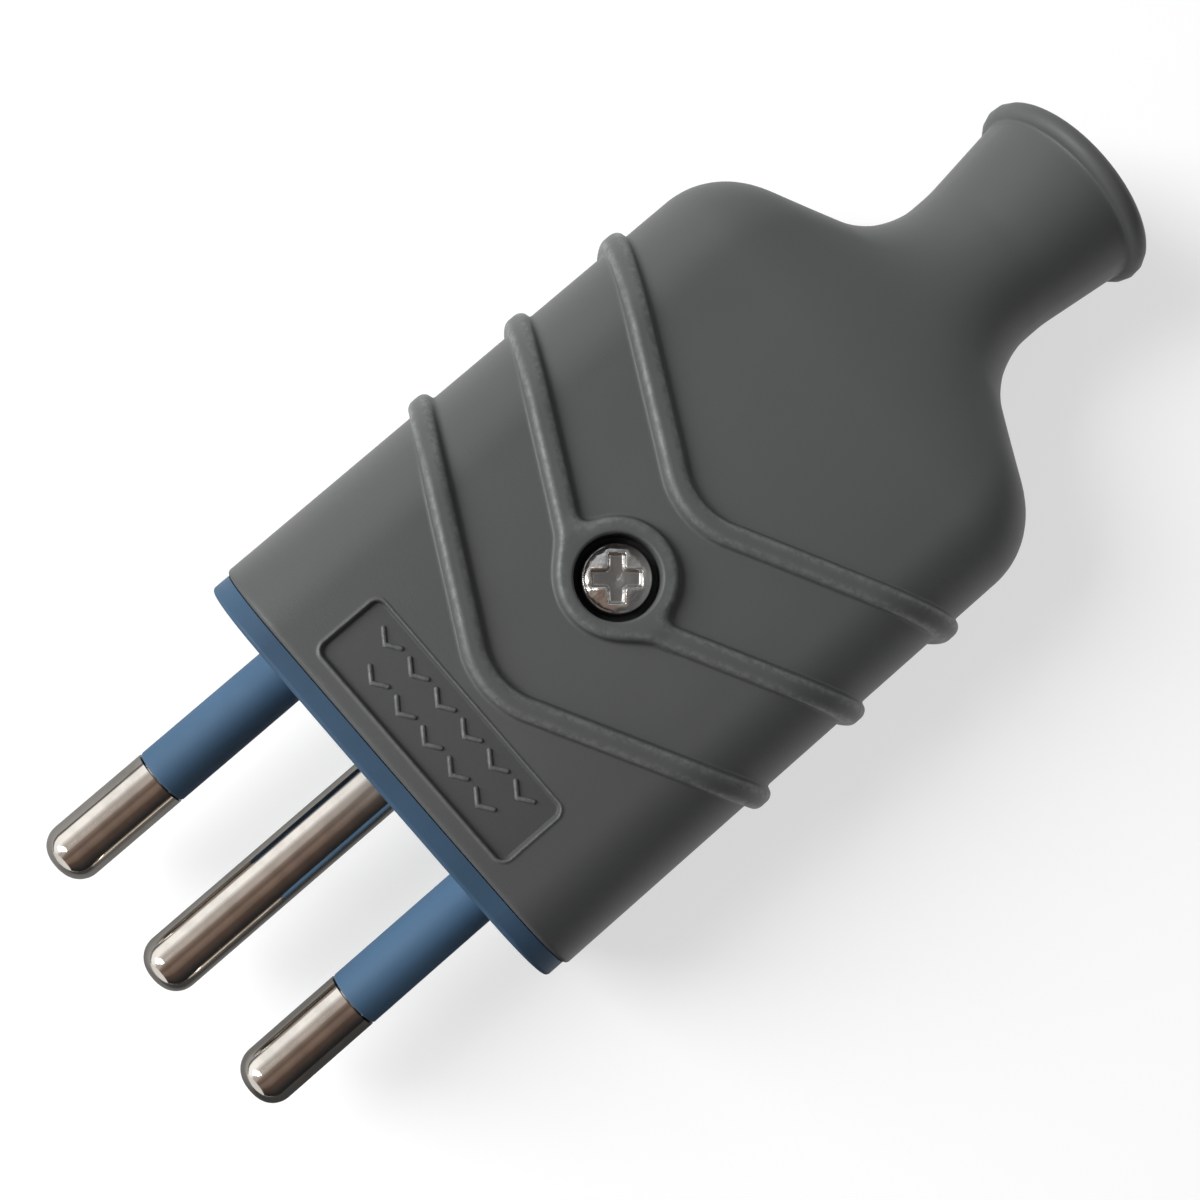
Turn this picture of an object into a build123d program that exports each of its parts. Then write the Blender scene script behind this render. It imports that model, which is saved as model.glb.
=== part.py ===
from build123d import *

import os
from math import cos, pi, radians, sin, sqrt, tan

# Driving dimensions, in millimetres. +X is the plug's width, +Y runs from the engagement
# face to the cable mouth, +Z is the side of the cover screw. The origin is the earth
# pin's axis on the engagement face, and the pins point along -Y.

# Pins
pin_diameter = 4.0
pin_length = 19.0
pin_spacing = 9.5
pin_tip_round = 1.5
pin_relief_length = 1.2
pin_relief_depth = 0.2
sleeve_length = 10.4
sleeve_wall = 0.5
sleeve_end_round = 0.15
sleeve_joint_gap = 0.1

# Terminals, turned in one with the pins
barrel_diameter = 6.0
barrel_length = 7.8
barrel_chamfer = 0.4
keeper_groove_depth = 0.6
wire_hole_diameter = 3.0
wire_hole_depth = 5.0
terminal_screw_length = 3.0

# Screws and nut, all with the same thread
thread_diameter = 3.0
screw_head_diameter = 4.54
screw_head_height = 1.6
screw_dome_height = 0.55
screw_head_round = 0.25
recess_span = 3.1
recess_arm = 0.95
recess_depth = 0.9
recess_round = 0.25
recess_taper = 12.0
recess_turn = 49.0
terminal_head_diameter = 4.2
terminal_head_height = 1.3
driver_slot_width = 0.7
driver_slot_depth = 0.6
nut_width = 5.5
nut_thickness = 1.8

# Cover
cover_width = 33.6
cover_height = 14.4
cover_corner = 6.2
crown_angle = 4.0
neck_crown_angle = 24.0
cover_wall = 1.9
cover_edge_round = 0.3
body_length = 39.2
shoulder_round = 5.8
shoulder_angle = 62.5
neck_round = 6.3
neck_diameter = 11.7
throat_diameter = 8.6
throat_length = 3.0
boot_length = 9.3
boot_flare_diameter = 13.5
mouth_diameter = 14.8
mouth_bead_diameter = 1.4
boot_bend = 9.0
shoulder_stations = 9
shoulder_lead = 0.6

# Grip ribs, three chevrons round the cover
rib_count = 3
rib_width = 1.6
rib_height = 0.75
rib_edge_round = 0.6
rib_angle = 28.0
rib_bend = 5.5
rib_pitch = 8.3
first_rib_apex = 9.6

# Ring boss round the cover screw, and the bare panel near the engagement face
screw_position = 19.76
ring_diameter = 7.7
ring_height = 0.8
ring_edge_round = 0.45
screw_well_diameter = 5.54
screw_well_round = 0.2
screw_head_sink = 1.2
screw_seat_thickness = 1.0
screw_seat_margin = 1.4
panel_width = 17.4
panel_length = 4.9
panel_position = 5.35
panel_depth = 0.3
panel_corner = 0.6

# Pin carrier
flange_thickness = 1.4
flange_inset = 0.25
flange_edge_round = 0.3
seam_gap = 0.05
pin_block_length = 6.2
tray_wall = 1.3
tray_wall_top = 1.0
tray_length = 37.0
partition_thickness = 1.2
partition_top = 3.9
partition_length = 8.6
nut_block_margin = 1.0
cord_diameter = 8.0

# Keeper, the plate that drops behind the pins' shoulders
keeper_thickness = 1.3
keeper_position = 9.4
keeper_top = 4.4

# Cord clamp
clamp_setback = 5.5
clamp_length = 4.2
clamp_arch_diameter = 6.8
clamp_thickness = 1.3
clamp_lug_thickness = 1.6
clamp_screw_spacing = 13.8
clamp_lug_margin = 2.3
clamp_seat_height = 1.0
clamp_screw_depth = 3.6

# Clearances
slide_fit = 0.15
barrel_clearance = 0.4
pin_fit = 0.03
thread_fit = 0.03
shank_clearance = 0.2

# Values that follow from the dimensions above
pin_radius = pin_diameter / 2
core_radius = pin_radius - sleeve_wall
barrel_radius = barrel_diameter / 2
thread_radius = thread_diameter / 2
neck_radius = neck_diameter / 2
throat_radius = throat_diameter / 2
half_width = cover_width / 2
half_height = cover_height / 2
cover_front = flange_thickness + seam_gap
block_end = flange_thickness + pin_block_length
barrel_end = block_end + barrel_length
floor_top = -(barrel_radius + slide_fit)
turn = radians(shoulder_angle)
slope_drop = half_width - neck_radius - (shoulder_round + neck_round) * (1 - cos(turn))
slope_run = slope_drop / tan(turn)
convex_end = body_length + shoulder_round * sin(turn)
slope_end = convex_end + slope_run
neck_position = slope_end + neck_round * sin(turn)
mouth_end = neck_position + boot_length
ring_top = half_height + ring_height
head_crown = ring_top - screw_head_sink
head_seat = head_crown - screw_head_height
seat_underside = head_seat - screw_seat_thickness
nut_block_top = seat_underside - seam_gap
carrier_inset = cover_wall + slide_fit
body_crown = tan(radians(crown_angle) / 2)
corner_x = (half_width - cover_corner - body_crown * (half_height - cover_corner)) / (1 - body_crown**2)
corner_z = half_height - cover_corner - body_crown * corner_x
tray_inside = half_width - carrier_inset - tray_wall
clamp_position = tray_length - clamp_setback
outer_pins = {"live": -pin_spacing, "neutral": pin_spacing}


def across(distance):
    """Plane square to the plug's axis, at a distance behind the engagement face."""
    return Plane.XZ.offset(-distance)


def outline(centre_x, centre_z, corner, lean):
    """Closed outline of eight tangent arcs: four corners and four crowned sides.

    The corners' centres are given for one quarter, and lean is the angle, in degrees, at
    which a crowned side meets its corner.
    """
    rise, reach = corner * sin(radians(lean)), corner * cos(radians(lean))
    side_bulge = centre_z * tan(radians(lean) / 2) + corner
    top_bulge = centre_x * tan(radians(lean) / 2) + corner
    with BuildSketch() as section:
        with BuildLine():
            for x, z in ((1, 1), (-1, 1), (-1, -1), (1, -1)):
                ThreePointArc(
                    (x * (centre_x + reach), z * (centre_z + rise)),
                    (x * (centre_x + corner * cos(pi / 4)), z * (centre_z + corner * sin(pi / 4))),
                    (x * (centre_x + rise), z * (centre_z + reach)),
                )
            for z in (1, -1):
                end_x, end_z = centre_x + rise, z * (centre_z + reach)
                ThreePointArc((end_x, end_z), (0, z * (centre_z + top_bulge)), (-end_x, end_z))
            for x in (1, -1):
                end_x, end_z = x * (centre_x + reach), centre_z + rise
                ThreePointArc((end_x, end_z), (x * (centre_x + side_bulge), 0), (end_x, -end_z))
        make_face()
    return section.sketch


def body_outline(inset):
    """Section of the straight part of the cover, or of a layer inside or outside it."""
    return outline(corner_x, corner_z, cover_corner - inset, crown_angle)


def shoulder_half_width(distance):
    """Half width along the shoulder: a round, a straight slope, and a hollow into the neck."""
    if distance <= convex_end:
        return half_width - shoulder_round + sqrt(shoulder_round**2 - (distance - body_length) ** 2)
    if distance <= slope_end:
        return half_width - shoulder_round * (1 - cos(turn)) - (distance - convex_end) * tan(turn)
    return neck_radius + neck_round - sqrt(neck_round**2 - (neck_position - distance) ** 2)


def shoulder_outline(share, wall_body=0, wall_neck=0):
    """Section of the shoulder, from the body's at share 0 to the neck's circle at share 1."""
    wide = shoulder_half_width(body_length + share * (neck_position - body_length))
    high = neck_radius + (half_height - neck_radius) * (1 + cos(pi * share)) / 2
    flatness = (wide - neck_radius) / (half_width - neck_radius)
    lean = neck_crown_angle + (crown_angle - neck_crown_angle) * flatness
    crown = tan(radians(lean) / 2)
    centre_z = corner_z * flatness
    corner = (high - crown * wide - centre_z * (1 - crown**2)) / (1 - crown)
    centre_x = wide - corner - crown * centre_z
    wall = wall_body + (wall_neck - wall_body) * share
    return outline(centre_x, centre_z, corner - wall, lean)


def slotted_screw(head_diameter, head_height, length):
    """Cheese-head screw standing on the XY plane, with its head above and its shank below."""
    with BuildPart() as screw:
        Cylinder(head_diameter / 2, head_height, align=(Align.CENTER, Align.CENTER, Align.MIN))
        fillet(screw.edges().group_by(Axis.Z)[-1], head_height / 5)
        with BuildSketch(Plane.XY.offset(head_height)):
            Rectangle(head_diameter + 1, driver_slot_width)
        extrude(amount=-driver_slot_depth, mode=Mode.SUBTRACT)
        Cylinder(thread_radius, length, align=(Align.CENTER, Align.CENTER, Align.MAX))
        chamfer(screw.edges().group_by(Axis.Z)[0], thread_radius / 4)
    return screw.part


# One rib as a plate right across the cover: a chevron in plan, with a rounded rim that
# follows the cover's section. The cavity later leaves only its rim.
rib_reach = half_width + rib_height + rib_width
rib_slope = tan(radians(rib_angle))
rib_side = rib_width / 2
rib_skew = rib_side / cos(radians(rib_angle))
rib_corner = first_rib_apex - rib_bend * (1 / cos(radians(rib_angle)) - 1)
with BuildPart() as rib:
    with BuildSketch(across(first_rib_apex - rib_width)):
        add(body_outline(-rib_height))
    extrude(amount=-(rib_reach * rib_slope + 2 * rib_width))
    with BuildSketch(Plane.XY):
        with BuildLine():
            front = FilletPolyline(
                (-rib_reach, rib_corner + rib_reach * rib_slope - rib_skew),
                (0, rib_corner - rib_skew),
                (rib_reach, rib_corner + rib_reach * rib_slope - rib_skew),
                radius=rib_bend + rib_side,
            )
            back = FilletPolyline(
                (-rib_reach, rib_corner + rib_reach * rib_slope + rib_skew),
                (0, rib_corner + rib_skew),
                (rib_reach, rib_corner + rib_reach * rib_slope + rib_skew),
                radius=rib_bend - rib_side,
            )
            Line(front @ 0, back @ 0)
            Line(front @ 1, back @ 1)
        make_face()
    extrude(amount=cover_height, both=True, mode=Mode.INTERSECT)
    rim = rib.edges() - rib.edges().filter_by(Axis.Z) - rib.edges().filter_by(Axis.Y)
    fillet(rim, rib_edge_round)

# Stations of the shoulder's loft, as places and shares of the change from body to neck. The
# section stays the same over a short lead at each end, so that the loft meets both smoothly.
loft_start = body_length - shoulder_lead
loft_end = neck_position + shoulder_lead
shares = [station / (shoulder_stations - 1) for station in range(shoulder_stations)]
stations = [(body_length + share * (neck_position - body_length), share) for share in shares]
stations = [(loft_start, 0), *stations, (loft_end, 1)]

# Cover, moulded in one: body, ribs, ring boss, shoulder and flared cable boot
with BuildPart() as cover:
    with BuildSketch(across(cover_front)):
        add(body_outline(0))
    extrude(amount=-(loft_start - cover_front))
    fillet(cover.edges().group_by(Axis.Y)[0], cover_edge_round)
    for place, share in stations:
        with BuildSketch(across(place)):
            add(shoulder_outline(share))
    loft()
    with Locations([(0, rib_pitch * row, 0) for row in range(rib_count)]):
        add(rib.part)
    with BuildSketch(Plane.XY.offset(ring_top)) as ring_top_face:
        with Locations((0, screw_position)):
            Circle(ring_diameter / 2)
    extrude(amount=-(ring_height + cover_wall / 2))
    fillet(cover.faces().sort_by(Axis.Z)[-1].edges(), ring_edge_round)

    # Cavity, from the open front to the neck
    with BuildSketch(across(cover_front)):
        add(body_outline(cover_wall))
    extrude(amount=-(loft_start - cover_front), mode=Mode.SUBTRACT)
    for place, share in stations:
        with BuildSketch(across(place)):
            add(shoulder_outline(share, cover_wall, neck_radius - throat_radius))
    loft(mode=Mode.SUBTRACT)

    # Boot, a straight throat that opens into a bell mouth with a rolled bead
    bead_radius = mouth_bead_diameter / 2
    bead_position = mouth_end - bead_radius
    with BuildSketch(Plane.XY):
        with BuildLine():
            outside = FilletPolyline(
                (neck_radius, loft_end),
                (neck_radius, neck_position + throat_length / 2),
                (boot_flare_diameter / 2, bead_position),
                radius=boot_bend,
            )
            inside = FilletPolyline(
                (throat_radius, loft_end),
                (throat_radius, neck_position + throat_length),
                (mouth_diameter / 2 - mouth_bead_diameter, bead_position),
                radius=boot_bend,
            )
            Line(outside @ 0, inside @ 0)
            Line(outside @ 1, inside @ 1)
        make_face()
        with Locations((mouth_diameter / 2 - bead_radius, bead_position)):
            Circle(bead_radius)
    revolve(axis=Axis.Y)

    # Seat for the screw's head, and the screw's well and hole
    with BuildSketch(Plane.XY.offset(seat_underside)):
        with Locations((0, screw_position)):
            Circle(screw_well_diameter / 2 + screw_seat_margin)
    extrude(amount=half_height - cover_wall / 2 - seat_underside)
    with BuildSketch(Plane.XY.offset(head_seat)):
        with Locations((0, screw_position)):
            Circle(screw_well_diameter / 2)
    extrude(amount=ring_top - head_seat, mode=Mode.SUBTRACT)
    fillet(cover.faces().sort_by(Axis.Z)[-1].inner_wires()[0].edges(), screw_well_round)
    with BuildSketch(Plane.XY.offset(seat_underside)):
        with Locations((0, screw_position)):
            Circle(thread_radius + shank_clearance)
    extrude(amount=ring_top - seat_underside, mode=Mode.SUBTRACT)

    # Shallow bare panel, with a floor that follows the crowned face
    with BuildPart(mode=Mode.PRIVATE) as panel:
        with BuildSketch(Plane.XY):
            with Locations((0, panel_position)):
                RectangleRounded(panel_width, panel_length, panel_corner)
        extrude(amount=half_height + ring_height)
        with BuildSketch(across(0)):
            add(body_outline(panel_depth))
        extrude(amount=-body_length, mode=Mode.SUBTRACT)
    add(panel.part, mode=Mode.SUBTRACT)

# Pins, each turned from one bar: tip, shank, shoulder, keeper groove and terminal barrel
pins = {}
terminal_screws = {}
screw_on_barrel = block_end + barrel_length - wire_hole_depth / 2
for name, side in {"earth": 0, **outer_pins}.items():
    with BuildPart() as pin:
        with BuildSketch(Plane.XY):
            with Locations((side, -pin_length)):
                Rectangle(pin_radius, pin_length + block_end, align=Align.MIN)
            with Locations((side, block_end)):
                Rectangle(barrel_radius, barrel_length, align=Align.MIN)
            with Locations((side + barrel_radius - keeper_groove_depth, keeper_position - slide_fit)):
                groove = keeper_thickness + 2 * slide_fit
                Rectangle(keeper_groove_depth, groove, align=Align.MIN, mode=Mode.SUBTRACT)
            if side:
                with Locations((side + core_radius, -sleeve_length - sleeve_joint_gap)):
                    bare = sleeve_length + sleeve_joint_gap + block_end
                    Rectangle(sleeve_wall, bare, align=Align.MIN, mode=Mode.SUBTRACT)
            else:
                with Locations((pin_radius - pin_relief_depth, 0)):
                    Rectangle(pin_relief_depth, pin_relief_length, align=Align.MIN, mode=Mode.SUBTRACT)
        revolve(axis=Axis((side, 0, 0), (0, 1, 0)))
        fillet(pin.edges().sort_by(Axis.Y)[0], pin_tip_round)
        chamfer(pin.edges().sort_by(Axis.Y)[-1], barrel_chamfer)
        with BuildSketch(across(barrel_end)):
            with Locations((side, 0)):
                Circle(wire_hole_diameter / 2)
        extrude(amount=wire_hole_depth, mode=Mode.SUBTRACT)
        with BuildSketch(Plane.XY):
            with Locations((side, screw_on_barrel)):
                Circle(thread_radius + thread_fit)
        extrude(amount=barrel_radius, mode=Mode.SUBTRACT)
    pins[name] = pin.part
    seat = barrel_radius + seam_gap
    screw = slotted_screw(terminal_head_diameter, terminal_head_height, terminal_screw_length)
    terminal_screws[name] = Pos(side, screw_on_barrel, seat) * screw

# Insulating sleeves on the two outer pins, from the tips' shoulders into the carrier
sleeves = {}
for name, side in outer_pins.items():
    with BuildPart() as sleeve:
        with BuildSketch(across(-sleeve_length)):
            with Locations((side, 0)):
                Circle(pin_radius)
                Circle(core_radius + pin_fit, mode=Mode.SUBTRACT)
        extrude(amount=-(sleeve_length + block_end - seam_gap))
        fillet(sleeve.edges().group_by(Axis.Y)[0].sort_by(SortBy.LENGTH)[-1], sleeve_end_round)
        with BuildSketch(across(0)):
            with Locations((side, 0)):
                Circle(pin_radius)
                Circle(pin_radius - pin_relief_depth, mode=Mode.SUBTRACT)
        extrude(amount=-pin_relief_length, mode=Mode.SUBTRACT)
    sleeves[name] = sleeve.part

# Pin carrier, moulded in one: face flange, pin block and the tray behind it
tray_floor_end = tray_length
nut_block_half = nut_width / 2 + nut_block_margin
pin_places = (0, *outer_pins.values())
with BuildPart() as carrier:
    with BuildSketch(across(0)):
        add(body_outline(flange_inset))
    extrude(amount=-flange_thickness)
    fillet(carrier.edges().group_by(Axis.Y)[0], flange_edge_round)
    with BuildSketch(across(flange_thickness)):
        add(body_outline(carrier_inset))
    extrude(amount=-(tray_length - flange_thickness))

    # Room above the floor, between the low side walls
    with BuildSketch(across(block_end)):
        with Locations((0, floor_top)):
            Rectangle(2 * tray_inside, cover_height, align=(Align.CENTER, Align.MIN))
        with Locations((0, tray_wall_top)):
            Rectangle(cover_width, cover_height, align=(Align.CENTER, Align.MIN))
    extrude(amount=-(tray_length - block_end), mode=Mode.SUBTRACT)

    # Partitions between the terminals, and the block that holds the cover screw's nut
    with BuildSketch(Plane.XY.offset(floor_top)):
        with Locations([(sign * pin_spacing / 2, block_end) for sign in (-1, 1)]):
            Rectangle(partition_thickness, partition_length, align=(Align.CENTER, Align.MIN))
    extrude(amount=partition_top - floor_top)
    with BuildSketch(Plane.XY.offset(floor_top)):
        with Locations((0, screw_position)):
            RectangleRounded(2 * nut_block_half, 2 * nut_block_half, nut_block_margin / 2)
    extrude(amount=nut_block_top - floor_top)

    # Posts under the cord clamp
    with BuildSketch(Plane.XY.offset(floor_top)):
        with Locations([(sign * clamp_screw_spacing / 2, clamp_position) for sign in (-1, 1)]):
            Circle(clamp_lug_margin)
    extrude(amount=clamp_seat_height - floor_top)

    # Half-round bed for the cord
    with BuildSketch(across(tray_length)):
        Circle(cord_diameter / 2)
    extrude(amount=tray_length - clamp_position + clamp_length, mode=Mode.SUBTRACT)

    # Bores for the pins, bays for their barrels, slot for the keeper, pocket for the nut and
    # the screw holes
    with BuildSketch(across(0)):
        with Locations([(place, 0) for place in pin_places]):
            Circle(pin_radius + pin_fit)
    extrude(amount=-block_end, mode=Mode.SUBTRACT)
    with BuildSketch(across(block_end)):
        with Locations([(place, 0) for place in pin_places]):
            Circle(barrel_radius + barrel_clearance)
    extrude(amount=-(barrel_length + slide_fit), mode=Mode.SUBTRACT)
    with BuildSketch(across(keeper_position - slide_fit)):
        with Locations((0, floor_top)):
            Rectangle(2 * tray_inside, cover_height, align=(Align.CENTER, Align.MIN))
    extrude(amount=-(keeper_thickness + 2 * slide_fit), mode=Mode.SUBTRACT)
    with BuildSketch(Plane.XY):
        with Locations((0, screw_position)):
            Rectangle(nut_width + 2 * slide_fit, nut_width + 2 * slide_fit)
        with Locations((0, screw_position + nut_block_half)):
            Rectangle(nut_width + 2 * slide_fit, 2 * nut_block_half)
    extrude(amount=nut_thickness / 2 + slide_fit, both=True, mode=Mode.SUBTRACT)
    with BuildSketch(Plane.XY.offset(floor_top)):
        with Locations((0, screw_position)):
            Circle(thread_radius + shank_clearance)
    extrude(amount=nut_block_top - floor_top, mode=Mode.SUBTRACT)
    with BuildSketch(Plane.XY.offset(clamp_seat_height)):
        with Locations([(sign * clamp_screw_spacing / 2, clamp_position) for sign in (-1, 1)]):
            Circle(thread_radius + thread_fit)
    extrude(amount=-(clamp_seat_height + clamp_screw_depth + seam_gap), mode=Mode.SUBTRACT)

# Keeper, a plate with three slots that straddle the grooves behind the pins' shoulders
keeper_slot = 2 * (barrel_radius - keeper_groove_depth + slide_fit)
with BuildPart() as keeper:
    with BuildSketch(across(keeper_position)):
        with Locations((0, floor_top + seam_gap)):
            width = 2 * (tray_inside - slide_fit)
            Rectangle(width, keeper_top - floor_top - seam_gap, align=(Align.CENTER, Align.MIN))
        with Locations([(place, 0) for place in pin_places]):
            Circle(keeper_slot / 2, mode=Mode.SUBTRACT)
            Rectangle(keeper_slot, -2 * floor_top, align=(Align.CENTER, Align.MAX), mode=Mode.SUBTRACT)
        add(body_outline(carrier_inset), mode=Mode.INTERSECT)
    extrude(amount=-keeper_thickness)

# Cord clamp, an arch with a lug each side
with BuildPart() as clamp:
    arch_outside = clamp_arch_diameter / 2 + clamp_thickness
    lug_end = clamp_screw_spacing / 2 + clamp_lug_margin
    lug_underside = clamp_seat_height + seam_gap
    with BuildSketch(across(clamp_position - clamp_length / 2)):
        Circle(arch_outside)
        with Locations((0, lug_underside)):
            Rectangle(2 * lug_end, clamp_lug_thickness, align=(Align.CENTER, Align.MIN))
        Circle(clamp_arch_diameter / 2, mode=Mode.SUBTRACT)
        with Locations((0, lug_underside)):
            Rectangle(4 * lug_end, cover_height, align=(Align.CENTER, Align.MAX), mode=Mode.SUBTRACT)
    extrude(amount=-clamp_length)
    fillet(clamp.edges().filter_by(Axis.Z), clamp_length / 4)
    with Locations([(sign * clamp_screw_spacing / 2, clamp_position, 0) for sign in (-1, 1)]):
        Hole(thread_radius + shank_clearance)

clamp_screws = {}
for name, sign in {"left": -1, "right": 1}.items():
    seat = lug_underside + clamp_lug_thickness + seam_gap
    screw = slotted_screw(screw_head_diameter, terminal_head_height, seat + clamp_screw_depth - seam_gap)
    clamp_screws[name] = Pos(sign * clamp_screw_spacing / 2, clamp_position, seat) * screw

# Cover screw with its seat on the XY plane: a low domed head, and a cross recess of rounded arms
head_radius = screw_head_diameter / 2
dome_radius = (head_radius**2 + screw_dome_height**2) / (2 * screw_dome_height)
with BuildPart() as cover_screw:
    Cylinder(head_radius, screw_head_height, align=(Align.CENTER, Align.CENTER, Align.MIN))
    with Locations((0, 0, screw_head_height - dome_radius)):
        Sphere(dome_radius, mode=Mode.INTERSECT)
    fillet(cover_screw.faces().filter_by(GeomType.CYLINDER).edges().group_by(Axis.Z)[-1], screw_head_round)
    with BuildSketch(Plane.XY.offset(screw_head_height)) as recess:
        Rectangle(recess_span, recess_arm, rotation=recess_turn)
        Rectangle(recess_arm, recess_span, rotation=recess_turn)
        fillet(recess.vertices(), recess_round)
    extrude(amount=-recess_depth, taper=recess_taper, mode=Mode.SUBTRACT)
    Cylinder(thread_radius, head_seat + nut_thickness, align=(Align.CENTER, Align.CENTER, Align.MAX))
    chamfer(cover_screw.edges().group_by(Axis.Z)[0], thread_radius / 4)

# Square nut, held in the pocket of the carrier
with BuildPart() as nut:
    with BuildSketch(Plane.XY.offset(-nut_thickness / 2)):
        with Locations((0, screw_position)):
            Rectangle(nut_width, nut_width)
            Circle(thread_radius + thread_fit, mode=Mode.SUBTRACT)
    extrude(amount=nut_thickness)
    chamfer(nut.edges().group_by(Axis.Z)[-1].filter_by(GeomType.LINE), nut_thickness / 8)

# Names and files
pieces = {
    "cover": cover.part,
    "pin_carrier": carrier.part,
    "pin_keeper": keeper.part,
    "cord_clamp": clamp.part,
    "cover_screw": Pos(0, screw_position, head_seat) * cover_screw.part,
    "cover_nut": nut.part,
}
for name, part in pins.items():
    pieces[f"{name}_pin"] = part
for name, part in sleeves.items():
    pieces[f"{name}_sleeve"] = part
for name, part in terminal_screws.items():
    pieces[f"{name}_terminal_screw"] = part
for name, part in clamp_screws.items():
    pieces[f"clamp_screw_{name}"] = part

os.makedirs("parts", exist_ok=True)
for name, part in pieces.items():
    part.label = name
    export_step(part, f"parts/{name}.step")
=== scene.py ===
"""Finish, fine detail and stage of a three-pin electrical plug, built around its solids."""

import math

import bpy
from bpy.props import FloatProperty, FloatVectorProperty, PointerProperty
from bpy.types import Operator, Panel, PropertyGroup
from mathutils import Matrix, Vector, noise


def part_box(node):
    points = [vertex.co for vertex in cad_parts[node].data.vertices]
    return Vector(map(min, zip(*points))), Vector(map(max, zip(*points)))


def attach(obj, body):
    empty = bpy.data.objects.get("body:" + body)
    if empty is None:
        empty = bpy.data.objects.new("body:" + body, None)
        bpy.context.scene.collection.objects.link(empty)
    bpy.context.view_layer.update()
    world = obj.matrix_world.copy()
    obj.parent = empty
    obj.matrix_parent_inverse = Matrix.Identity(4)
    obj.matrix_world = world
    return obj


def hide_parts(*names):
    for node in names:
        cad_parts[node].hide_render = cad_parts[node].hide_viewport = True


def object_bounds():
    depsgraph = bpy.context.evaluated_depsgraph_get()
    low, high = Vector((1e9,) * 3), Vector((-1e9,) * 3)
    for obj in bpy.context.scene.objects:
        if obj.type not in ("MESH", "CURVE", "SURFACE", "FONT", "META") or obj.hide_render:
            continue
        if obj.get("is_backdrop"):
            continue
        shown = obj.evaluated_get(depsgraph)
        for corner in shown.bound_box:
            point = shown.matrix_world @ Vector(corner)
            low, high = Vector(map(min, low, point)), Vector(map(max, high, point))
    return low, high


bl_info = {
    "name": "Three-pin plug",
    "version": (1, 0, 0),
    "blender": (4, 5, 0),
    "location": "View3D > Sidebar > Plug",
    "description": "Dresses the solids of a three-pin electrical plug and sets its stage",
    "category": "Object",
}

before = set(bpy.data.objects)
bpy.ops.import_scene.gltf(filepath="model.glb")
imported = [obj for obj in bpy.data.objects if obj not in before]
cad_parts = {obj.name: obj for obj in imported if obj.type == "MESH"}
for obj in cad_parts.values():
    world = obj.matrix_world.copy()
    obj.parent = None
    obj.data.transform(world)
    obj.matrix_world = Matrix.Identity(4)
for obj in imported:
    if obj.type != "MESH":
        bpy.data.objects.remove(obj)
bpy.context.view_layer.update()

MM = 0.001
BODY = "root"

# Camera, matched to the photograph: its place, the point it looks at, and the direction
# of the picture's upper edge, an angle in the plane of the floor
CAMERA_PLACE = Vector((-0.12, 8.68, 114.39)) * MM
CAMERA_AIM = Vector((0.37, 18.68, 0.0)) * MM
PICTURE_UP = math.radians(139.09)
FOCAL_SHARE = 1.4447
SENSOR_WIDTH = 36.0

# Stage, in metres. The floor's glow rises with the distance from the plug, given in
# millimetres, as the lamps' light on it falls off
FLOOR_SIZE = 3.0
FLOOR_GLOW_NEAR, FLOOR_GLOW_FAR = (0.62, 0.62, 0.62, 1.0), (1.0, 1.0, 1.0, 1.0)
FLOOR_GLOW_START, FLOOR_GLOW_END = 150, 480
ROOM_LEVEL = 0.14
HOOD_RADIUS = 0.7
HOOD_LENGTH = 2.4
HOOD_STEPS = 48

# The soft lamps, the key and a weak fill: name, place and size in metres
LAMPS = (("key", (-0.34, -0.2, 0.27), (0.24, 0.4)), ("fill", (0.42, 0.26, 0.08), (0.3, 0.15)))
LAMP_AIM = Vector((0, 0.02, 0))

# The hood's glow from one edge over the top to the other, by angle in degrees, over the pins.
# It is what the bright metal reflects
PIN_GLOW = (
    (0, (0.1, 0.1, 0.1)),
    (7, (0.14, 0.14, 0.14)),
    (12, (1.3, 1.3, 1.3)),
    (38, (1.3, 1.3, 1.3)),
    (46, (0.86, 0.87, 0.88)),
    (55, (0.56, 0.51, 0.475)),
    (74, (0.54, 0.49, 0.46)),
    (82, (0.26, 0.2, 0.165)),
    (95, (0.15, 0.102, 0.08)),
    (107, (0.25, 0.18, 0.15)),
    (120, (0.195, 0.136, 0.106)),
    (131, (0.085, 0.055, 0.042)),
    (146, (0.06, 0.04, 0.033)),
    (159, (0.022, 0.02, 0.02)),
    (180, (0.006, 0.006, 0.006)),
)

# The same over the cover and its screw, and the shares of the hood's length between which
# the first glow gives way to this one
GLOW_CHANGE = (0.46, 0.49)
COVER_GLOW = (
    (0, (0.12, 0.12, 0.12)),
    (12, (0.9, 0.91, 0.93)),
    (40, (0.9, 0.91, 0.93)),
    (58, (0.4, 0.41, 0.42)),
    (78, (0.16, 0.16, 0.16)),
    (104, (0.3, 0.3, 0.3)),
    (128, (0.07, 0.07, 0.07)),
    (180, (0.01, 0.01, 0.01)),
)

# A small bright card that glints on the pins' tips, the screw and the ribs: its heading in
# the plane of the floor, its lowest and highest elevation, half its spread, its glow
GLINT_HEADING = math.radians(227)
GLINT_LOW, GLINT_HIGH, GLINT_SPREAD = math.radians(28), math.radians(61), math.radians(10)
GLINT_DISTANCE = 0.5
GLINT_GLOW = 9.0
CARD_COLOUR = (0.02, 0.02, 0.02)

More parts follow.
